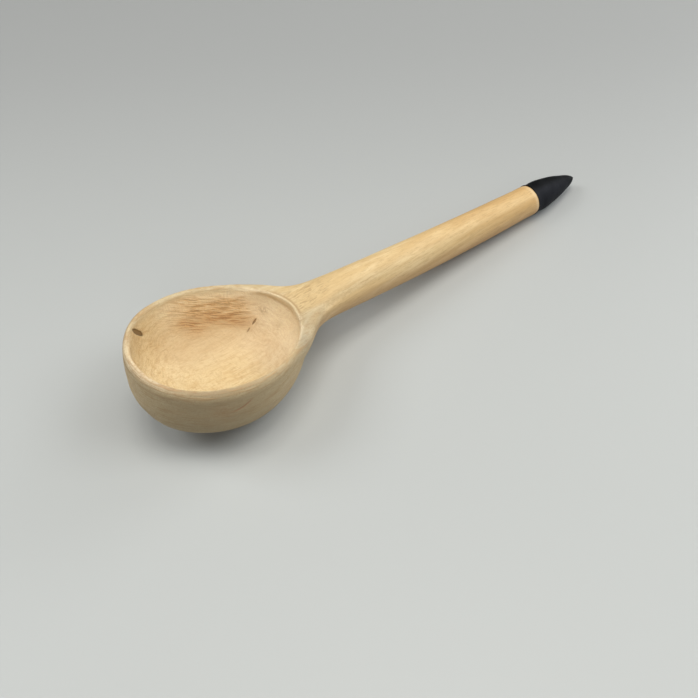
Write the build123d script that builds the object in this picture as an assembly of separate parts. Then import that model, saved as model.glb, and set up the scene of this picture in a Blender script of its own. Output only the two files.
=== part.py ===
from build123d import *
from math import cos, exp, pi, sin, sqrt
import os

# A carved wooden spoon, lying as it rests on a flat surface: on the small flat under its deep
# bowl and on the black coated point of its handle. Millimetres, +X from the bowl to the point,
# +Z up. It is drawn about the middle of the bowl's rim with the surface at height 0, and moved
# along X at the end, so that its origin is in the middle of the bottom of its bounding box.

# ---- bowl, measured square to the plane of its rim ----
bowl_front = 32.0            # centre to the front of the rim
bowl_back = 31.7             # centre to the back of the rim, where the neck starts
bowl_half_width = 26.7
bowl_depth = 27.2            # rim plane to the bottom of the outside
bowl_fullness = 4.0          # 2 is half an ellipsoid, and a higher number nears a bucket
egg_shape = 0.09             # by this share the front half is wider and the back half narrower
rim_height = 29.45           # rim plane above the surface, at the bowl's centre
rim_tilt = 12.2              # degrees: the front of the rim stands higher than the back

# ---- cavity ----
lip_width = 2.6              # of the rim at the front and the sides
lip_back = 3.4               # of the rim where the neck starts
cavity_depth = 21.5
cavity_fullness = 2.8
cavity_clearance = 12.0      # how far the cutter reaches above the rim

# ---- handle: squared ovals set square to a curved centre line ----
handle_start = 16.0          # distance along X from the bowl's centre, inside the bowl's wall
coat_start = 152.5           # distance along X to the edge of the black coat
start_height = 22.6          # heights of the centre line
middle_height = 13.0
end_height = 6.955
start_half_height = 6.6
middle_half_height = 8.1
start_half_width = 8.4
middle_half_width = 7.15
end_radius = 6.5
flare_width = 14.0           # how much wider each side of the neck is inside the bowl
flare_end = 27.0             # where half of that is left, along X
flare_fade = 4.2             # how gently it fades
neck_dip = 3.2               # how far the neck's flat top lies under the line of the handle's
neck_end = 38.5              # where the flat top is halfway to being round, along X
neck_fade = 3.6              # how gently it changes there
neck_squareness = 3.4        # 2 is an oval, and a higher number has a flatter top
root_depth = 5             # how much deeper the underside is inside the bowl
root_end = 29.0              # where half of that is left, along X
root_fade = 2.0              # how gently it fades

# ---- pointed end and its black coat ----
point_length = 30.5
point_fullness = 0.86        # 1 is a parabola, and a lower number is blunter
nose_roundness = 0.05        # the share of the point's radius that its round nose has
coat_thickness = 0.25
blunt_station = 7            # the wood under the coat is cut off flat at this station

outline_points = 24
bowl_slices = 12
last_slice = 0.97            # the flat end of the round bottom, as a share of a quarter turn
handle_sections = 26
point_stations = 9
os.makedirs("parts", exist_ok=True)


def squared(value, power):
    """A sine or cosine pushed outwards, which turns a circle into a squared oval."""
    return abs(value) ** power * (1 if value > 0 else -1)


def egg_outline(front, back, half_width):
    """An egg-shaped face in the rim plane, from its reaches to the front, the back and the sides."""
    points = []
    for i in range(outline_points):
        angle = 2 * pi * i / outline_points
        reach = back if cos(angle) > 0 else front
        width = half_width * (1 - egg_shape * cos(angle))
        points.append((reach * cos(angle), width * sin(angle)))
    return make_face(Spline(*points, periodic=True))


def round_bottomed(depth, fullness, front, back, half_width):
    """A solid that hangs from the rim plane and curves in to a round bottom."""
    slices = []
    for i in range(bowl_slices + 1):
        drop = sin(last_slice * pi / 2 * i / bowl_slices)
        size = (1 - drop ** fullness) ** (1 / fullness)
        outline = egg_outline(front * size, back * size, half_width * size)
        slices.append(Pos(0, 0, -depth * drop) * outline)
    return loft(slices)


def through(start, middle, end, share):
    """The parabola through three values, which stand at shares 0, 1/2 and 1."""
    return (start * (1 - share) * (1 - 2 * share) + 4 * middle * share * (1 - share)
            + end * share * (2 * share - 1))


def centre_line(x):
    """Height and slope of the handle's centre line."""
    length = coat_start - handle_start
    share = (x - handle_start) / length
    height = through(start_height, middle_height, end_height, share)
    slope = (start_height * (4 * share - 3) + middle_height * (4 - 8 * share)
             + end_height * (4 * share - 1)) / length
    return height, slope


def section_plane(x):
    """The plane across the spoon, square to the centre line at distance x."""
    height, slope = centre_line(x)
    return Plane(origin=(x, 0, height), x_dir=(0, 1, 0), z_dir=(1, 0, slope))


def handle_section(x):
    """One section of the handle: round below, and flat-topped where it leaves the bowl."""
    share = (x - handle_start) / (coat_start - handle_start)
    flare = 1 / (1 + exp((x - flare_end) / flare_fade))
    neck = 1 / (1 + exp((x - neck_end) / neck_fade))
    root = 1 / (1 + exp((x - root_end) / root_fade))
    half_width = through(start_half_width, middle_half_width, end_radius, share) + flare_width * flare
    half_height = through(start_half_height, middle_half_height, end_radius, share)
    power = 2 / (2 + (neck_squareness - 2) * neck)
    points = []
    for i in range(outline_points):
        angle = 2 * pi * i / outline_points
        if sin(angle) > 0:
            across = half_width * squared(cos(angle), power)
            up = (half_height - neck_dip * neck) * squared(sin(angle), power)
        else:
            across = half_width * cos(angle)
            up = (half_height + root_depth * root) * sin(angle)
        points.append((across, up))
    return section_plane(x) * make_face(Spline(*points, periodic=True))


def point_section(station, inset):
    """A round section of the pointed end, at one of its stations, inset from the coat's surface."""
    share = sin(pi / 2 * station / point_stations)
    size = (1 - nose_roundness) * (1 - share ** 2) ** point_fullness + nose_roundness * sqrt(1 - share ** 2)
    radius = (end_radius + coat_thickness) * size - inset
    place = section_plane(coat_start) * Pos(0, 0, point_length * share)
    points = []
    for i in range(outline_points):
        angle = 2 * pi * i / outline_points
        points.append((radius * cos(angle), radius * sin(angle)))
    return place * make_face(Spline(*points, periodic=True))


def stem():
    """Handle and pointed end as one solid, from inside the bowl's wall to the blunt end under the coat."""
    length = coat_start - handle_start
    sections = [handle_section(handle_start + length * i / handle_sections) for i in range(handle_sections)]
    sections += [point_section(station, coat_thickness) for station in range(blunt_station + 1)]
    return loft(sections)


def coat_outside():
    """The coat's outer shape, filled in, with a round nose."""
    nose = section_plane(coat_start) * Pos(0, 0, point_length)
    sections = [point_section(station, 0) for station in range(point_stations)]
    return loft(sections + [Vertex(*nose.position)])


rim_plane = Pos(0, 0, rim_height) * Rot(0, rim_tilt, 0)
outside = rim_plane * round_bottomed(bowl_depth, bowl_fullness, bowl_front, bowl_back, bowl_half_width)
inside = (bowl_front - lip_width, bowl_back - lip_back, bowl_half_width - lip_width)
mouth = extrude(egg_outline(*inside), cavity_clearance)
cavity = rim_plane * (round_bottomed(cavity_depth, cavity_fullness, *inside) + mouth)
under_surface = Pos(0, 0, -bowl_depth) * Box(8 * bowl_depth, 3 * bowl_depth, 2 * bowl_depth)

wood = stem()
spoon_body = outside + wood - cavity - under_surface
tip_coat = coat_outside() - wood

middle = Compound([spoon_body.solid(), tip_coat.solid()]).bounding_box().center()
to_origin = Pos(-middle.X, -middle.Y, 0)
for name, solid in (("spoon_body", spoon_body), ("tip_coat", tip_coat)):
    solid = to_origin * solid
    print(name, solid.is_valid, len(solid.solids()), round(solid.volume), solid.bounding_box())
    export_step(solid, f"parts/{name}.step")
print("bowl centre at x", -middle.X, "coat starts at", coat_start - middle.X)
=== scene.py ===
"""The looks of a hand-carved wooden spoon whose handle ends in a matt black point.

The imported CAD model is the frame. The wood is one skin over the CAD solid, softened and then
carved in code: rounded lip, scraper marks, torn grain, a knot hole, pits and a crack. Lengths
inside this script are millimetres along the frame's axes until they are written to a mesh.
"""

from math import cos, pi, radians, sin

import bmesh
import bpy
import numpy as np
from mathutils import Matrix, Vector, noise


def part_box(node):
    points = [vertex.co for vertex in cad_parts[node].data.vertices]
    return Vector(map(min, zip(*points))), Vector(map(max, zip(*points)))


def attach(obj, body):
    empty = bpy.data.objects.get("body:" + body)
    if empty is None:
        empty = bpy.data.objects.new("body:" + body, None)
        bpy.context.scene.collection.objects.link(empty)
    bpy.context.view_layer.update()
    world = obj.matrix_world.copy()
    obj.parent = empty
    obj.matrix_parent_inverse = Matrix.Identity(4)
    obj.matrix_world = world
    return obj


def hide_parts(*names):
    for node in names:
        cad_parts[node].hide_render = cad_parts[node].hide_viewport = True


MM = 0.001

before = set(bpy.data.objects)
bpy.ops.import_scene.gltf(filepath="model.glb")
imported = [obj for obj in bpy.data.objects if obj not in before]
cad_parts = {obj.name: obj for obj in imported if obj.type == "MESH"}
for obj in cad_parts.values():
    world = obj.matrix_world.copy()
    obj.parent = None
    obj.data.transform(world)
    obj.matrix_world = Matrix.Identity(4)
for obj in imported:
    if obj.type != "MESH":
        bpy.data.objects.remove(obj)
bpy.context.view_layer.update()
wood_low = np.array(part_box("spoon_body")[0]) / MM
coat_low, coat_high = (np.array(corner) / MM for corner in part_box("tip_coat"))

# ---- the bowl, as the frame has it ----
bowl_x = wood_low[0] + 33.70          # the middle of the rim, from the front end along X
rim_height = 29.45                    # the rim's plane above the surface, there
rim_tilt = radians(12.2)              # the front of the rim stands higher
mouth_front = 29.4                    # reaches of the cavity's edge, in the rim's plane
mouth_back = 28.3
mouth_half_width = 24.1
egg_shape = 0.09                      # by this share the front is wider and the back narrower
lip_width = 2.6                       # of the flat that the cavity leaves on the wall
profile_radius = 24.0                 # about: it turns an angle down the cavity into a length

# ---- the pointed end's axis ----
coat_middle = 6.955                   # its height where the coat starts
coat_slope = -0.0625                  # and how it falls towards the point

# ---- where the looks differ from the frame ----
skin_size = 0.55                      # of the quads that the wood's skin is made of
droop_depth = 0.40                    # how far the very point is bent down
droop_length = 16.0                   # of the part that bends
nose_swell = 0.22                     # by this share the coat's nose is thicker
nose_length = 9.0
coat_slant = 0.90                     # how much later the coat starts on the far side
coat_waver = 0.30                     # how uneven the coat's edge is
coat_edge = 2.5                       # how much of the coat moves with its edge


def unit(*vector):
    """This direction with a length of 1."""
    return np.array(vector) / np.linalg.norm(vector)


def ease(value, start, end):
    """0 before start, 1 after end, and smooth between them."""
    share = np.clip((value - start) / (end - start), 0, 1)
    return share * share * (3 - 2 * share)


def bump(value, middle, reach):
    """1 at the middle, and smoothly less away from it."""
    return np.exp(-(((value - middle) / reach) ** 2))


def blobs(points, sizes, shift=0.0):
    """Smooth noise about 0 at each point, in blobs of these sizes along X, Y and Z."""
    return np.array([noise.noise(place) for place in (points / sizes + shift).tolist()])


# ---------------------------------------------------------------- mesh work
def copied(node, name):
    """A new object with the node's mesh, its split edges joined."""
    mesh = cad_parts[node].data.copy()
    joined = bmesh.new()
    joined.from_mesh(mesh)
    bmesh.ops.remove_doubles(joined, verts=joined.verts, dist=0.001 * MM)
    joined.to_mesh(mesh)
    joined.free()
    piece = bpy.data.objects.new(name, mesh)
    bpy.context.collection.objects.link(piece)
    return piece


def applied(piece):
    """Gives the piece the mesh that its modifiers make."""
    depsgraph = bpy.context.evaluated_depsgraph_get()
    mesh = bpy.data.meshes.new_from_object(piece.evaluated_get(depsgraph))
    piece.modifiers.clear()
    piece.data = mesh


def reskin(piece, size):
    """Gives the piece an even skin of small quads."""
    skin = piece.modifiers.new("skin", "REMESH")
    skin.mode = "VOXEL"
    skin.voxel_size = size * MM
    applied(piece)


def read_points(mesh):
    points = np.empty(3 * len(mesh.vertices))
    mesh.vertices.foreach_get("co", points)
    return points.reshape(-1, 3) / MM


def write_points(mesh, points):
    mesh.vertices.foreach_set("co", (points * MM).ravel())
    mesh.update()


def read_normals(mesh):
    normals = np.empty(3 * len(mesh.vertices))
    mesh.vertex_normals.foreach_get("vector", normals)
    return normals.reshape(-1, 3)


def read_edges(mesh):
    edges = np.empty(2 * len(mesh.edges), dtype=np.int64)
    mesh.edges.foreach_get("vertices", edges)
    return edges.reshape(-1, 2)


def soften(points, edges, rounds, share):
    """Each point moves a share of the way to the middle of its neighbours, round after round."""
    first, second = edges.T
    count = np.bincount(edges.ravel(), minlength=len(points))
    share = np.broadcast_to(share, len(points))
    for _ in range(rounds):
        moved = np.empty_like(points)
        for axis in range(3):
            line = points[:, axis]
            total = np.bincount(first, line[second], len(points))
            total += np.bincount(second, line[first], len(points))
            moved[:, axis] = line + share * (total / count - line)
        points = moved
    return points


def mark(mesh, name, values):
    """Stores a value at each point of the mesh for its material."""
    layer = mesh.attributes.new(name, "FLOAT", "POINT")
    layer.data.foreach_set("value", np.asarray(values, dtype=np.float32))


def to_rim(points):
    """Places from the middle of the rim: to the back, across, and up out of the bowl."""
    along = points[:, 0] - bowl_x
    up = points[:, 2] - rim_height
    back = along * cos(rim_tilt) - up * sin(rim_tilt)
    out = along * sin(rim_tilt) + up * cos(rim_tilt)
    return back, points[:, 1], out


def from_rim(back, across, out):
    """The points at these places, which undoes to_rim."""
    along = back * cos(rim_tilt) + out * sin(rim_tilt)
    up = out * cos(rim_tilt) - back * sin(rim_tilt)
    return np.stack([along + bowl_x, across, up + rim_height], 1)


def from_mouth(back, across):
    """Distance outwards from the cavity's edge, and the angle round it: 0 at the neck, degrees."""
    reach = np.where(back > 0, mouth_back, mouth_front)
    angle = np.arctan2(across / mouth_half_width, back / reach)
    width = mouth_half_width * (1 - egg_shape * np.cos(angle))
    share = np.hypot(back / reach, across / width)
    return (share - 1) * 0.5 * (reach + width), np.degrees(angle)


def droop(points):
    """Bends the last of the pointed end down a little."""
    bent = points.copy()
    bent[:, 2] -= droop_depth * ease(points[:, 0], coat_high[0] - droop_length, coat_high[0])
    return bent


def lip_sides(angle):
    """Away from the neck, and on the far side: each from 0 to 1."""
    off_neck = ease(np.abs(angle - 5), 26, 58)
    far = ease(angle, 28, 65) * (1 - ease(angle, 125, 165))
    return off_neck, far


def round_side(depth_share):
    """How far a quarter circle falls away, from 0 at its top to 1 at its side."""
    return 1 - np.sqrt(1 - np.clip(depth_share, 0, 1) ** 2)


def refine(piece, chosen):
    """Splits the edges between chosen points in two, for finer marks there."""
    finer = bmesh.new()
    finer.from_mesh(piece.data)
    cut = [edge for edge in finer.edges if all(chosen[end.index] for end in edge.verts)]
    bmesh.ops.subdivide_edges(finer, edges=cut, cuts=1, use_grid_fill=True)
    finer.to_mesh(piece.data)
    finer.free()


# ---------------------------------------------------------------- the carved wood
spoon = copied("spoon_body", "carved_wood")
reskin(spoon, skin_size)

# The lip's flat top is rounded off, but not where the handle leaves it. On the far side it
# falls inwards, into the wall, and elsewhere mostly outwards.
points = read_points(spoon.data)
back, across, out = to_rim(points)
outwards, angle = from_mouth(back, across)
off_neck, far = lip_sides(angle)
crest_at = 0.6 + 1.1 * far
roof = (0.9 * far - 2.0) * off_neck * round_side((outwards - crest_at) / (lip_width - crest_at))
roof -= (0.10 + 1.00 * off_neck + 1.0 * far) * round_side(1 - outwards / crest_at)
roof += 5 * (1 - off_neck)
at_lip = (outwards > -2) & (outwards < lip_width + 1.5) & (out > -4) & (back < mouth_back + 3)
out = np.where(at_lip, np.minimum(out, roof), out)

# The cavity's edge opens a little wider at the front and more on the far side, but not on the
# near side.
flare = 0.3 * off_neck * (1 - 1.3 * bump(angle, -110, 40)) + 0.6 * far
flare *= bump(out, 0, 2.6)
flare *= (1 - ease(outwards, 0.2, 1.6)) * at_lip
stretch = 1 + flare / np.maximum(np.hypot(back, across), 1)
write_points(spoon.data, from_rim(back * stretch, across * stretch, out))
reskin(spoon, skin_size)

# Softer everywhere, most of all along the lip and where the bowl's wall runs into the neck, and
# least along the cavity's edge at the neck.
edges = read_edges(spoon.data)
points = read_points(spoon.data)
back, across, out = to_rim(points)
outwards, angle = from_mouth(back, across)
off_neck, far = lip_sides(angle)
lip = ease(out, -7, -4) * ease(outwards, -3, -1) * (1 - ease(outwards, 6, 9)) * off_neck
flank = bump(points[:, 0] - bowl_x, 23, 7) * bump(np.abs(across), 17, 7) * (1 - ease(out, -3, -1))
sharp = bump(outwards, 0, 1.3) * ease(out, -1.6, -0.6) * (out < 3)
sharp *= 1 - ease(np.abs(angle - 4), 26, 38)
points = soften(points, edges, 4, 0.5 - 0.4 * sharp)
corner = bump(angle, -34, 16) * bump(outwards, 0, 2.8) * ease(out, -4, -2)
points = soften(points, edges, 16, 0.5 * np.clip(lip + corner, 0, 1))
points = soften(points, edges, 60, 0.5 * np.clip(flank, 0, 1))
write_points(spoon.data, points)

# Places of the small marks, from the point of the floor below the middle of the rim.
knot_place = (-21.4, 17.7, 29.9)
pit_place = (18.2, 12.0, 12.6)
small_pit_place = (15.0, 11.8, 10.3)
crack_place = (-9.5, -26, 22.8)
streak = unit(0.788, -0.614, -0.052)  # torn grain: the way its streaks run
layer = unit(0.51, 0.60, 0.62)        # and the normal of its layers
local = points - (bowl_x, 0, 0)


def near(place, reach):
    """1 at one of these places, and smoothly less away from it."""
    return np.exp(-(((local - place) ** 2).sum(1)) / reach ** 2)


# Where the marks are small, the skin is finer.
fine = (np.abs(outwards) < 2.5) & (np.abs(angle - 2) < 40) & (out > -2) & (out < 3)
fine |= near(knot_place, 7) > 0.4
fine |= (near(pit_place, 3) + near(small_pit_place, 3)) > 0.3
fine |= near(crack_place, 6.5) > 0.4
torn_part = (np.abs(local @ streak + 8) < 17) & (np.abs(local @ layer - 27.5) < 7)
fine |= torn_part & (across > 8) & (outwards < 0)
refine(spoon, fine)
edges = read_edges(spoon.data)
points = soften(read_points(spoon.data), edges, 2, 0.5)
write_points(spoon.data, points)

# What the carving is steered by: places in the rim's frame, and whether a point lies in the
# cavity, on the bowl's outside or on an upward face.
normals = read_normals(spoon.data)
back, across, out = to_rim(points)
outwards, angle = from_mouth(back, across)
off_neck, far = lip_sides(angle)
local = points - (bowl_x, 0, 0)
along = local[:, 0]
to_middle = np.stack([-along, -across, rim_height + 2 - points[:, 2]], 1)
to_middle /= np.linalg.norm(to_middle, axis=1)[:, None]
facing = (normals * to_middle).sum(1)
inside = ease(facing, 0.0, 0.35) * (1 - ease(outwards, 0.2, 1.6)) * (1 - ease(out, 0, 1.5))
bowl = 1 - ease(along, 24, 34)
outer = bowl * (1 - inside)
upward = ease(normals[:, 2], 0.6, 0.9)

# How far each point is pushed out along its normal.
push = np.zeros(len(points))

# The outside stands out high on the far side and where that runs into the neck. It draws in
# low at the near front, and on the near side towards the neck.
push += 0.80 * outer * ease(angle, 22, 62) * (1 - ease(angle, 118, 162)) * ease(out, -14, -3)
off_centre = ease(np.hypot(back, across), 8, 18)
push -= 0.90 * outer * off_centre * bump(angle, -124, 28) * bump(points[:, 2], 5, 6)
push -= 0.65 * outer * bump(angle, -58, 20) * bump(out, -14, 8)
push += 0.50 * (1 - inside) * near((27.0, 15.5, 24.0), 6)

# A soft crest runs along the near side of the neck's flat top. This is how far across it lies.
crest_line = -3.6 - 8.0 * np.exp(-(along - 25.5) / 10)

# A sharp little ridge stands along the cavity's edge at the neck, with a groove behind it.
ridge_part = ease(angle, -20, -9) * (1 - ease(angle, 20, 32)) * ease(out, -1.4, -0.6) * (out < 3)
ridge = ridge_part * bump(outwards, 0.15, 0.26)
groove = ridge_part * bump(outwards, 0.80, 0.38)
push += 0.18 * ridge - 0.24 * groove

# Painted highlights: the wood is paler on that ridge, where the crest starts on upward faces, and
# beside the coat.
crest_start = 0.7 * bump(across, crest_line, 0.6) * ease(along, 21, 24) * (1 - ease(along, 27, 36))
highlight_line = ridge + crest_start * upward + bump(points[:, 0], coat_low[0] - 0.3, 0.7)

# The neck's flat top is hollow and rough beside the crest. Its near shoulder is cut lower.
crest = bump(across, crest_line, 1.1) * ease(along, 22, 26) * (1 - ease(along, 44, 56)) * upward
flat = ease(across, crest_line + 0.5, crest_line + 3) * (1 - ease(along, 36, 54))
flat *= ease(outwards, 0.6, 1.8) * upward * bump(angle, -5, 38)
neck = flat * (1 - ease(across, 6, 11))
push += 0.10 * crest - 0.24 * flat
push += 0.20 * neck * blobs(points, (2.8, 0.8, 0.8), 4.4)
shoulder = bump(across, -8.0, 2.4) * ease(along, 29, 37) * (1 - ease(along, 60, 84))
shoulder *= ease(normals[:, 2], 0.2, 0.6)
push -= 0.50 * shoulder

# Knife and scraper work: long shallow facets outside, arcs round the wall and bottom inside.
push += 0.20 * outer * blobs(points, (20, 13, 8))
push += 0.10 * (1 - inside) * blobs(points, (30, 3.6, 3.6), 7.3)
turn = np.radians(angle)
round_rim = np.stack([np.cos(turn), np.sin(turn)], 1)
profile = profile_radius * np.arctan2(np.hypot(back, across), -np.minimum(out, -0.01))
arcs = np.column_stack([3.0 * round_rim, profile / 1.5])
push += 0.09 * inside * blobs(arcs, 1.0, 3.1)
push += 0.26 * inside * blobs(points, (11, 11, 11), 5.7)

# Torn grain high on the far wall, in layers that the cut crosses at a slant.
third = np.cross(streak, layer)
fibres = np.stack([local @ streak, local @ layer, local @ third], 1)
torn = np.exp(-(((fibres[:, 0] + 8.0) / 14) ** 4) - (((fibres[:, 1] - 28.0) / 5.4) ** 4))
torn = np.maximum(torn, bump(fibres[:, 0], -16, 7) * bump(fibres[:, 1], 22.8, 3.4))
torn *= inside * ease(across, 7, 12)
torn = np.clip(torn * (1.05 + 0.6 * blobs(fibres, (6, 2.4, 6), 2.9)), 0, 1)
push += 0.12 * torn * blobs(fibres, (4.0, 0.8, 4.0), 8.8)


def slot(middle, direction, normal, half_length, half_width):
    """How deep each point lies in a boat-shaped hole, from 0 to 1."""
    offset = local - middle
    run = offset @ direction
    side = offset @ np.cross(normal, direction)
    reach = (run / half_length) ** 2 + (side / half_width) ** 2 + 0.25 * blobs(offset, 1.6, 0.6)
    return (1 - ease(reach, 0.2, 1.2)) * (np.abs(offset @ normal) < 2.5)


# A knot hole high on the wall at the far front, two small pits on the wall towards the neck,
# and a crack outside on the near side.
knot = slot(knot_place, unit(0.395, 0.307, -0.866), unit(0.68, -0.72, -0.11), 4.7, 1.05)
pit = slot(pit_place, unit(0.81, 0.05, 0.58), unit(-0.56, -0.57, 0.6), 1.7, 0.42)
small_pit = slot(small_pit_place, unit(0.81, 0.15, 0.5), unit(-0.37, -0.5, 0.78), 1.4, 0.36)
pits = np.maximum(pit, 0.6 * small_pit)
crack_height = 22.7 + 0.048 * (along + 11.4) ** 2
crack = bump(points[:, 2], crack_height, 0.24) * (across < -20)
crack *= ease(along, -13.5, -10.5) * (1 - ease(along, -6.5, -4.8))
push -= 0.28 * knot + 0.34 * pits + 0.22 * crack

# Soft brown stains: beside the pits, by the neck, in front of the crack, round the knot hole, and
# where the near lip ends. On the neck's near shoulder it is painted shade instead.
stain_and_shade = 0.55 * near((22.2, 11.0, 16.8), 2.0) + 0.35 * near((24.2, 3.8, 13.2), 2.2)
stain_and_shade += 0.40 * near((-15.5, -25.3, 24.0), 3.2) + 0.30 * near((-22, 17.6, 28.5), 3.6)
# Painted shade on the neck's near shoulder.
stain_and_shade += 0.25 * shoulder
stain_and_shade += 0.60 * bump(outwards, 0.5, 0.8) * bump(angle, -20, 6) * bump(out, 0.3, 1.5)

# The lip's rounded top is darker, and painted shade darkens the bowl's outside towards the near
# front.
lip_top = off_neck * bump(out, 0, 2.2) * ease(outwards, 0.3, 1.2) * (1 - far)
lip_top *= (1 - ease(np.abs(angle), 140, 170)) * (0.36 + 0.64 * bump(angle, -122, 38))
front_wall_shade = outer * off_centre * bump(angle, -118, 50) * (1 - ease(out, -5, -1))

# Fibres stand frayed along the outer edge of the lip, round the front.
frayed = bump(outwards, lip_width - 0.2, 2.2) * ease(out, -6, -3) * ease(np.abs(angle), 120, 150)

# Painted light: the wood is paler high on the wall from the far side to the neck, and along the
# lip at the front.
by_neck = 1 - ease(angle, 25, 55)
painted_light_wall = inside * ease(out + 4 * by_neck, -13, -5) * ease(angle, -55, -25)
painted_light_wall *= 1 - ease(angle, 95, 125)
painted_light_wall *= 1 - by_neck * ease(out, -2.5, -0.8) * ease(angle, -20, 0)
painted_light_lip = ease(np.abs(angle), 130, 160) * ease(out, -3, -1)

# Painted shade: darker low on the far wall, and where the near lip runs into the neck, with two
# fainter places on the bottom and on the lip.
painted_shade_wall = inside * bump(across, 17, 9) * (1 - ease(out, -13, -7))
painted_shade_wall *= 1 - 0.75 * ease(angle, 112, 145)
lip_end = ((21.4, -16.8, 24.8), (28.8, -11.0, 24.0), (33.5, -9.8, 22.8))
painted_shade_lip = np.clip(sum(near(place, 4.5) for place in lip_end), 0, 1) * (1 - inside)
painted_shade_lip += 0.45 * inside * near((14.0, -5.0, 9.0), 9)
painted_shade_lip += 0.40 * near((-16.2, -22.2, 33.0), 8) * ease(out, -3, -1)

# Painted shade too along the cavity's edge at the neck, under the handle, and on the far side of
# the handle's end.
painted_shade_edge = bump(outwards, -0.55, 0.50) * ease(out, -2.2, -1.2) * ease(angle, -60, -35)
painted_shade_edge *= 1 - ease(angle, 30, 45)
painted_shade_under = ease(-normals[:, 2], -0.45, 0.20) * (1 - bowl)
painted_shade_end = ease(across, -4, -0.5) * ease(points[:, 0], coat_low[0] - 60, coat_low[0] - 10)

# The wood is flush with the coat where that starts, and under the coat it stays inside it.
push += 0.16 * ease(points[:, 0], coat_low[0] - 7, coat_low[0] - 0.5)
covered = ease(points[:, 0], coat_low[0] + 0.4, coat_low[0] + 1.2)
push = push * (1 - covered) - 0.12 * covered

points = droop(points + push[:, None] * normals)
points[:, 2] = np.maximum(points[:, 2], 0.0)
write_points(spoon.data, points)
spoon.data.shade_smooth()
for name, values in (
    ("inside", inside),
    ("torn", torn),
    ("knot", knot),
    ("pits", pits),
    ("crack", crack),
    ("neck", neck),
    ("highlight_line", highlight_line),
    ("groove", groove),
    ("stain_and_shade", stain_and_shade),
    ("frayed", frayed),
    ("lip_top", lip_top),
    ("front_wall_shade", front_wall_shade),
    ("painted_light_wall", painted_light_wall),
    ("painted_light_lip", painted_light_lip),
    ("painted_shade_wall", painted_shade_wall),
    ("painted_shade_lip", painted_shade_lip),
    ("painted_shade_end", painted_shade_end),
    ("painted_shade_under", painted_shade_under),
    ("painted_shade_edge", painted_shade_edge),
):
    mark(spoon.data, name, values)


# ---------------------------------------------------------------- materials
def linear(red, green, blue):
    """A colour given as it looks on a screen, 0 to 255, as the shader needs it."""
    return tuple(
        (value / 255 / 12.92 if value < 11 else ((value / 255 + 0.055) / 1.055) ** 2.4)
        for value in (red, green, blue)
    ) + (1.0,)


class Paint:
    """A material whose nodes are made by plain calls. Its lengths are millimetres."""

    def __init__(self, name):
        self.material = bpy.data.materials.new(name)
        self.material.use_nodes = True
        self.tree = self.material.node_tree
        self.surface = self.tree.nodes["Principled BSDF"]
        place = self.node("ShaderNodeTexCoord").outputs["Object"]
        self.place = self.vector("SCALE", place, scale=1 / MM)

    def node(self, kind, inputs=(), **settings):
        """A new node with these settings, whose inputs are other sockets or plain values."""
        made = self.tree.nodes.new(kind)
        for name, value in settings.items():
            setattr(made, name, value)
        for socket, value in dict(inputs).items():
            self.put(made.inputs[socket], value)
        return made

    def put(self, socket, value):
        """Links a socket to another, or sets its value."""
        if isinstance(value, bpy.types.NodeSocket):
            self.tree.links.new(value, socket)
        else:
            socket.default_value = value

    def math(self, operation, first, second=0.0):
        return self.node("ShaderNodeMath", {0: first, 1: second}, operation=operation).outputs[0]

    def vector(self, operation, first, second=(0, 0, 0), scale=None):
        inputs = {0: first, 1: second}
        if scale is not None:
            inputs["Scale"] = scale
        made = self.node("ShaderNodeVectorMath", inputs, operation=operation)
        return made.outputs["Value" if operation in ("LENGTH", "DOT_PRODUCT") else "Vector"]

    def marked(self, name):
        """The value that mark() has stored on the mesh under this name."""
        return self.node("ShaderNodeAttribute", attribute_name=name).outputs["Fac"]

    def noise(self, place, sizes, detail=2.0, roughness=0.5, shift=0.0):
        """Noise from 0 to 1 in blobs of these sizes."""
        sizes = np.broadcast_to(sizes, 3)
        scaled = self.vector("MULTIPLY", place, tuple(1 / sizes))
        moved = self.vector("ADD", scaled, (shift, shift * 1.7, shift * 2.3))
        inputs = {"Vector": moved, "Scale": 1.0, "Detail": detail, "Roughness": roughness}
        return self.node("ShaderNodeTexNoise", inputs).outputs["Fac"]

    def between(self, value, low, high, start=0.0, end=1.0):
        """The value's place between low and high, as start to end."""
        inputs = {0: value, 1: low, 2: high, 3: start, 4: end}
        made = self.node("ShaderNodeMapRange", inputs, interpolation_type="SMOOTHSTEP")
        return made.outputs[0]

    def mix(self, share, first, second, blend="MIX"):
        """Two colours blended, by the share that the second one has."""
        made = self.node("ShaderNodeMix", data_type="RGBA", blend_type=blend)
        self.put(made.inputs["Factor"], share)
        self.put(made.inputs[6], first)
        self.put(made.inputs[7], second)
        return made.outputs[2]

    def relief(self, height, depth, normal=None):
        """Small relief whose height runs from 0 to depth."""
        inputs = {"Height": height, "Distance": depth * MM, "Strength": 1.0}
        if normal is not None:
            inputs["Normal"] = normal
        return self.node("ShaderNodeBump", inputs).outputs["Normal"]


# The floor's greys, as the shader needs them, and the direction in which painted shade makes it
# darker.
near_grey = (0.456, 0.460, 0.442, 1)
far_shaded_grey = (0.372, 0.372, 0.361, 1)
shade_heading = radians(50)

# The wood's colours, as they look on a screen in full light.
cream = (226, 204, 160)
straw = (214, 187, 138)
tan = (204, 170, 120)
brown = (184, 148, 102)
dark_brown = (152, 114, 74)
grey_wood = (188, 172, 142)
pale_edge = (238, 220, 182)
torn_wood = (212, 171, 120)
torn_dark = (150, 112, 70)
knot_edge = (108, 86, 54)
knot_middle = (140, 112, 74)
crack_red = (158, 96, 62)
lip_wood = (166, 141, 104)
honey = (203, 161, 103)
warm_cream = (219, 185, 129)
# The colour of the painted shade on the bowl's outside at the near front.
front_shade_colour = (142, 124, 94)
rosy = (218, 192, 160)


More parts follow.
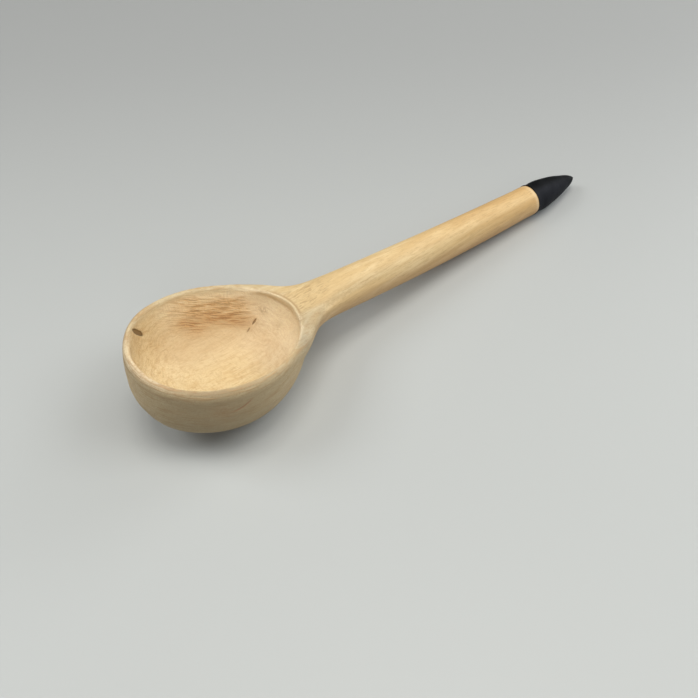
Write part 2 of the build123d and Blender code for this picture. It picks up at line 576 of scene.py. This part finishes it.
def wood_paint():
    """The pale carved wood, with what the marks on its mesh say."""
    paint = Paint("pale_carved_wood")
    place = paint.place
    inside = paint.marked("inside")
    torn = paint.marked("torn")
    neck = paint.marked("neck")

    # Places in the rim's frame: round the bowl, and down its profile.
    middle = paint.vector("SUBTRACT", place, (bowl_x, 0, rim_height))
    back = paint.vector("DOT_PRODUCT", middle, (cos(rim_tilt), 0, -sin(rim_tilt)))
    out = paint.vector("DOT_PRODUCT", middle, (sin(rim_tilt), 0, cos(rim_tilt)))
    across = paint.vector("DOT_PRODUCT", middle, (0, 1, 0))
    flat = paint.node("ShaderNodeCombineXYZ", {"X": back, "Y": across}).outputs[0]
    reach = paint.vector("LENGTH", flat)
    profile = paint.math("ARCTAN2", reach, paint.math("MULTIPLY", out, -1.0))
    down = paint.math("MULTIPLY", profile, profile_radius)
    bowl = paint.between(back, 22, 34, 1, 0)
    outer = paint.math("MULTIPLY", bowl, paint.math("SUBTRACT", 1.0, inside))

    # Growth bands and fibres run along the spoon. The handle is warmer than the bowl, and most
    # so at its end.
    sway = paint.math("MULTIPLY", paint.noise(place, (60, 40, 40), 1.0), 9.0)
    swayed = paint.vector("ADD", place, paint.vector("SCALE", (0, 1, 0.6), scale=sway))
    bands = paint.noise(swayed, (90, 3.4, 3.4), 3.0, 0.55, 4.0)
    fibres = paint.noise(place, (5, 0.40, 0.40), 3.0, 0.6, 9.0)
    threads = paint.noise(place, (26, 1.1, 1.1), 2.0, 0.5, 2.0)
    clouds = paint.noise(place, 14, 2.0, 0.5, 6.0)
    flecks = paint.between(paint.noise(place, (2.4, 0.28, 0.28), 2.0, 0.5, 3.0), 0.64, 0.72)

    warmth = paint.between(back, 34, 165, 0.30, 0.85)
    warmth = paint.math("MULTIPLY", warmth, paint.math("SUBTRACT", 1.0, bowl))
    light_wood = paint.mix(warmth, linear(*cream), linear(*warm_cream))
    band_wood = paint.mix(warmth, linear(*straw), linear(*honey))
    band_strength = paint.between(inside, 0, 1, 1.0, 0.45)
    band_share = paint.math("MULTIPLY", paint.between(bands, 0.36, 0.64), band_strength)
    colour = paint.mix(band_share, light_wood, band_wood)
    colour = paint.mix(paint.between(clouds, 0.40, 0.72, 0, 0.35), colour, band_wood)
    colour = paint.mix(paint.between(threads, 0.48, 0.66, 0, 0.44), colour, linear(*tan))
    colour = paint.mix(paint.between(fibres, 0.50, 0.66, 0, 0.42), colour, linear(*brown))
    colour = paint.mix(paint.math("MULTIPLY", flecks, 0.36), colour, linear(*dark_brown))

    # Outside, the wall is greyer, with fine lines level with the rim.
    level = paint.node("ShaderNodeCombineXYZ", {"X": 0.0, "Y": 0.0, "Z": out}).outputs[0]
    level_place = paint.vector("ADD", flat, level)
    lines = paint.noise(level_place, (7, 7, 0.42), 3.0, 0.6, 2.0)
    colour = paint.mix(paint.math("MULTIPLY", outer, 0.45), colour, linear(*grey_wood))
    lip_share = paint.math("MULTIPLY", paint.marked("lip_top"), 0.95)
    colour = paint.mix(lip_share, colour, linear(*lip_wood))
    specks = paint.noise(place, (0.55, 0.55, 0.8), 3.0, 0.65, 8.0)
    speck_share = paint.math("MULTIPLY", paint.between(specks, 0.52, 0.68, 0, 0.35), outer)
    colour = paint.mix(speck_share, colour, linear(*dark_brown))
    line_share = paint.math("MULTIPLY", paint.between(lines, 0.48, 0.64, 0, 0.66), outer)
    colour = paint.mix(line_share, colour, linear(*brown))
    fray_share = paint.math("MULTIPLY", paint.between(lines, 0.42, 0.56), paint.marked("frayed"))
    colour = paint.mix(paint.math("MULTIPLY", fray_share, 0.34), colour, linear(*dark_brown))
    # Painted shade on the bowl's outside towards the near front.
    front_shade_share = paint.math("MULTIPLY", paint.marked("front_wall_shade"), 0.72)
    colour = paint.mix(front_shade_share, colour, linear(*front_shade_colour))

    # Inside, a scraper's arcs run round the wall and the bottom.
    waver = paint.math("MULTIPLY", paint.noise(place, 7, 2.0, 0.5, 11.0), 7.0)
    wavering = paint.math("ADD", down, waver)
    slide = paint.node("ShaderNodeCombineXYZ", {"X": 0.0, "Y": 0.0, "Z": wavering}).outputs[0]
    arc_place = paint.vector("ADD", flat, slide)
    arcs = paint.noise(arc_place, (5.5, 5.5, 0.50), 3.0, 0.60)
    scratch_place = paint.vector("ADD", place, paint.vector("SCALE", (1, 0, 0), scale=waver))
    scratches = paint.noise(scratch_place, (0.7, 4.2, 4.2), 3.0, 0.6, 5.0)
    wall = paint.math("MULTIPLY", paint.between(profile, 0.5, 1.1, 0.35, 1), inside)
    arc_share = paint.math("MULTIPLY", paint.between(arcs, 0.48, 0.66, 0, 0.48), wall)
    colour = paint.mix(arc_share, colour, linear(*brown))
    scratch_share = paint.math("MULTIPLY", paint.between(scratches, 0.52, 0.68, 0, 0.32), inside)
    colour = paint.mix(scratch_share, colour, linear(*brown))
    pale_share = paint.math("MULTIPLY", paint.between(arcs, 0.46, 0.34, 0, 0.45), wall)
    colour = paint.mix(pale_share, colour, linear(*cream))
    far_share = paint.math("MULTIPLY", paint.between(across, 2, 16, 0, 0.40), inside)
    far_share = paint.math("MULTIPLY", far_share, paint.between(back, -20, -6))
    colour = paint.mix(far_share, colour, linear(*pale_edge))
    back_share = paint.math("MULTIPLY", paint.between(back, 8, 22, 0, 0.35), inside)
    colour = paint.mix(back_share, colour, linear(*rosy))

    # Torn grain: tan, with short dark and pale streaks.
    low_middle = paint.vector("SUBTRACT", place, (bowl_x, 0, 0))
    run = paint.vector("DOT_PRODUCT", low_middle, tuple(streak))
    over = paint.vector("DOT_PRODUCT", low_middle, tuple(layer))
    torn_place = paint.node("ShaderNodeCombineXYZ", {"X": run, "Y": over, "Z": 0.0}).outputs[0]
    streaks = paint.noise(torn_place, (3.6, 0.29, 1), 2.0, 0.55, 5.0)
    colour = paint.mix(paint.math("MULTIPLY", torn, 0.95), colour, linear(*torn_wood))
    dark_streaks = paint.math("MULTIPLY", paint.between(streaks, 0.50, 0.60), torn)
    colour = paint.mix(paint.math("MULTIPLY", dark_streaks, 0.62), colour, linear(*torn_dark))
    pale_streaks = paint.math("MULTIPLY", paint.between(streaks, 0.46, 0.38), torn)
    colour = paint.mix(paint.math("MULTIPLY", pale_streaks, 0.62), colour, linear(*cream))

    # Rough brown lines on the neck's flat, behind painted shade in the groove and a painted
    # highlight on the ridge.
    neck_lines = paint.noise(place, (2.4, 0.50, 0.50), 3.0, 0.65, 7.0)
    neck_share = paint.math("MULTIPLY", paint.between(neck_lines, 0.46, 0.66, 0, 0.50), neck)
    colour = paint.mix(paint.math("MULTIPLY", neck, 0.35), colour, linear(*straw))
    colour = paint.mix(neck_share, colour, linear(*dark_brown))
    # Painted shade in the groove behind the ridge.
    groove_shade_share = paint.math("MULTIPLY", paint.marked("groove"), 0.55)
    colour = paint.mix(groove_shade_share, colour, linear(*dark_brown))
    # A painted highlight along the ridge, the crest's start and the coat's edge.
    highlight_line_share = paint.math("MULTIPLY", paint.marked("highlight_line"), 0.36)
    colour = paint.mix(highlight_line_share, colour, linear(*pale_edge))

    # Stains with some painted shade, knot hole, pits and crack.
    stain_noise = paint.noise(place, 0.9, 3.0, 0.6, 1.0)
    stain_and_shade = paint.math("MULTIPLY", paint.marked("stain_and_shade"), paint.between(stain_noise, 0.30, 0.60))
    colour = paint.mix(stain_and_shade, colour, linear(*dark_brown))
    knot = paint.marked("knot")
    colour = paint.mix(paint.between(knot, 0.15, 0.75), colour, linear(*knot_edge))
    colour = paint.mix(paint.between(knot, 0.75, 0.98, 0, 0.7), colour, linear(*knot_middle))
    pit_share = paint.between(paint.marked("pits"), 0.10, 0.80, 0, 0.85)
    colour = paint.mix(pit_share, colour, linear(*knot_middle))
    crack_share = paint.math("MULTIPLY", paint.marked("crack"), 0.75)
    colour = paint.mix(crack_share, colour, linear(*crack_red))

    # The tones, each of which multiplies the colour where its mark is: painted light where paler,
    # painted shade where darker.
    for name, tone in (
        ("painted_light_wall", (1.20, 1.30, 1.45)),
        ("painted_light_lip", (1.15, 1.17, 1.26)),
        ("painted_shade_wall", (0.80, 0.73, 0.66)),
        ("painted_shade_lip", (0.78, 0.80, 0.86)),
        ("painted_shade_end", (0.90, 0.85, 0.79)),
        ("painted_shade_under", (0.92, 0.86, 0.86)),
        ("painted_shade_edge", (0.76, 0.72, 0.64)),
    ):
        colour = paint.mix(paint.marked(name), colour, tone + (1,), "MULTIPLY")
    paint.put(paint.surface.inputs["Base Color"], colour)

    rough = paint.between(fibres, 0.3, 0.7, 0.56, 0.70)
    paint.put(paint.surface.inputs["Roughness"], rough)
    paint.surface.inputs["Specular IOR Level"].default_value = 0.35
    normal = paint.relief(fibres, 0.05)
    normal = paint.relief(paint.math("MULTIPLY", arcs, wall), 0.16, normal)
    normal = paint.relief(paint.math("MULTIPLY", scratches, inside), 0.14, normal)
    normal = paint.relief(paint.math("MULTIPLY", lines, outer), 0.26, normal)
    normal = paint.relief(paint.math("MULTIPLY", streaks, torn), 0.32, normal)
    normal = paint.relief(paint.math("MULTIPLY", neck_lines, neck), 0.20, normal)
    paint.put(paint.surface.inputs["Normal"], normal)
    return paint.material


def black_paint():
    """The matt black coat, with painted shade on its far side."""
    paint = Paint("matt_black")
    cloud = paint.noise(paint.place, 5, 2.0)
    speck = paint.noise(paint.place, 0.5, 2.0, 0.5, 3.0)
    colour = paint.mix(paint.between(cloud, 0.35, 0.65), linear(33, 34, 38), linear(39, 40, 44))
    # Painted shade on the coat's far side and top.
    colour = paint.mix(paint.marked("far_side_shade"), colour, (0.42, 0.42, 0.38, 1), "MULTIPLY")
    paint.put(paint.surface.inputs["Base Color"], colour)
    paint.put(paint.surface.inputs["Roughness"], paint.between(speck, 0.3, 0.7, 0.54, 0.66))
    paint.surface.inputs["Specular IOR Level"].default_value = 0.05
    paint.put(paint.surface.inputs["Normal"], paint.relief(speck, 0.02))
    return paint.material


def floor_paint():
    """A pale grey with painted shade, darker away from the front of the bowl."""
    paint = Paint("pale_floor")
    away = paint.vector("DOT_PRODUCT", paint.place, (cos(shade_heading), sin(shade_heading), 0))
    colour = paint.mix(paint.between(away, -60, 230), near_grey, far_shaded_grey)
    paint.put(paint.surface.inputs["Base Color"], colour)
    paint.surface.inputs["Roughness"].default_value = 0.5
    return paint.material


# The wood, in its paint, rides on the root.
spoon.data.materials.clear()
spoon.data.materials.append(wood_paint())
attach(spoon, "root")
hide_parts("spoon_body")


# ---------------------------------------------------------------- the black coat
coat = copied("tip_coat", "black_tip")
split = coat.modifiers.new("finer", "SUBSURF")
split.subdivision_type = "SIMPLE"
split.levels = 1
applied(coat)

# The nose is rounder than the frame's.
points = read_points(coat.data)
nose_share = ease(points[:, 0], coat_high[0] - nose_length, coat_high[0] - 1)
axis_height = coat_middle + (points[:, 0] - coat_low[0]) * coat_slope
points[:, 1] *= 1 + nose_swell * nose_share
points[:, 2] += (points[:, 2] - axis_height) * nose_swell * nose_share

# The coat's edge wavers, and on the far side it lies further back.
edge_share = 1 - ease(points[:, 0], coat_low[0], coat_low[0] + coat_edge)
edge_turn = np.arctan2(points[:, 1], points[:, 2] - axis_height)
edge_round = np.stack([np.cos(edge_turn), np.sin(edge_turn), np.zeros(len(points))], 1)
points[:, 0] += coat_waver * edge_share * blobs(edge_round, 0.8, 1.3)
points[:, 0] += coat_slant * edge_share * ease(points[:, 1], -1, 6)
# Where the painted shade lies: the coat's far side and top.
mark(coat.data, "far_side_shade", ease(points[:, 1], -4, -1))
points = droop(points)
points[:, 2] = np.maximum(points[:, 2], 0.0)
write_points(coat.data, points)
coat.data.shade_smooth()
coat.data.materials.clear()
coat.data.materials.append(black_paint())
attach(coat, "root")
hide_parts("tip_coat")

# ---------------------------------------------------------------- floor, light, camera
# All lengths from here on are metres.
floor_radius = 1.3
light_size = 0.7
light_distance = 1.5

bpy.ops.mesh.primitive_circle_add(vertices=96, radius=floor_radius, fill_type="NGON")
floor = bpy.context.object
floor.name = "floor"
floor.data.materials.append(floor_paint())

# Beyond the floor's edge the room is a plain grey, which gives no light of its own.
room = bpy.data.worlds.new("room")
room.use_nodes = True
seen = room.node_tree.nodes.new("ShaderNodeLightPath").outputs["Is Camera Ray"]
backdrop = room.node_tree.nodes["Background"]
backdrop.inputs["Color"].default_value = (0.30, 0.305, 0.30, 1)
room.node_tree.links.new(seen, backdrop.inputs["Strength"])
bpy.context.scene.world = room

camera_place = Vector((-0.13102, -0.15674, 0.19870))
camera_heading = radians(55.49)
camera_pitch = radians(48.60)
camera_roll = radians(-4.54)
camera = bpy.data.objects.new("camera", bpy.data.cameras.new("camera"))
camera.data.sensor_width = 36
camera.data.lens = 36.103152
aim = (
    Matrix.Rotation(camera_heading - pi / 2, 4, "Z")
    @ Matrix.Rotation(pi / 2 - camera_pitch, 4, "X")
    @ Matrix.Rotation(camera_roll, 4, "Z")
)
camera.matrix_world = Matrix.Translation(camera_place) @ aim
bpy.context.collection.objects.link(camera)
bpy.context.scene.camera = camera
bpy.context.scene.view_settings.view_transform = "Standard"


def soft_light(name, heading, height, watts, colour):
    """A soft square light that looks at the spoon from a heading and height in degrees."""
    level = cos(radians(height)) * light_distance
    place = Vector((cos(radians(heading)) * level, sin(radians(heading)) * level, 0))
    place.z = sin(radians(height)) * light_distance
    light = bpy.data.lights.new(name, "AREA")
    light.size = light_size
    light.energy = watts
    light.color = colour
    item = bpy.data.objects.new(name, light)
    item.location = place
    item.rotation_euler = (-place).to_track_quat("-Z", "Y").to_euler()
    bpy.context.collection.objects.link(item)


warm = (1.0, 0.99, 0.95)
cool = (0.93, 0.97, 1.0)
soft_light("overhead", 0, 90, 9.6, warm)
soft_light("left", 135, 45, 8.8, cool)
soft_light("right", 315, 45, 8.5, cool)
soft_light("back_right_low", 0, 20, 5.2, cool)
soft_light("near_right", 300, 70, 3.7, warm)
soft_light("front", 240, 35, 3.8, cool)
soft_light("front_left", 180, 70, 1.7, warm)
soft_light("back_right", 0, 45, 1.5, cool)
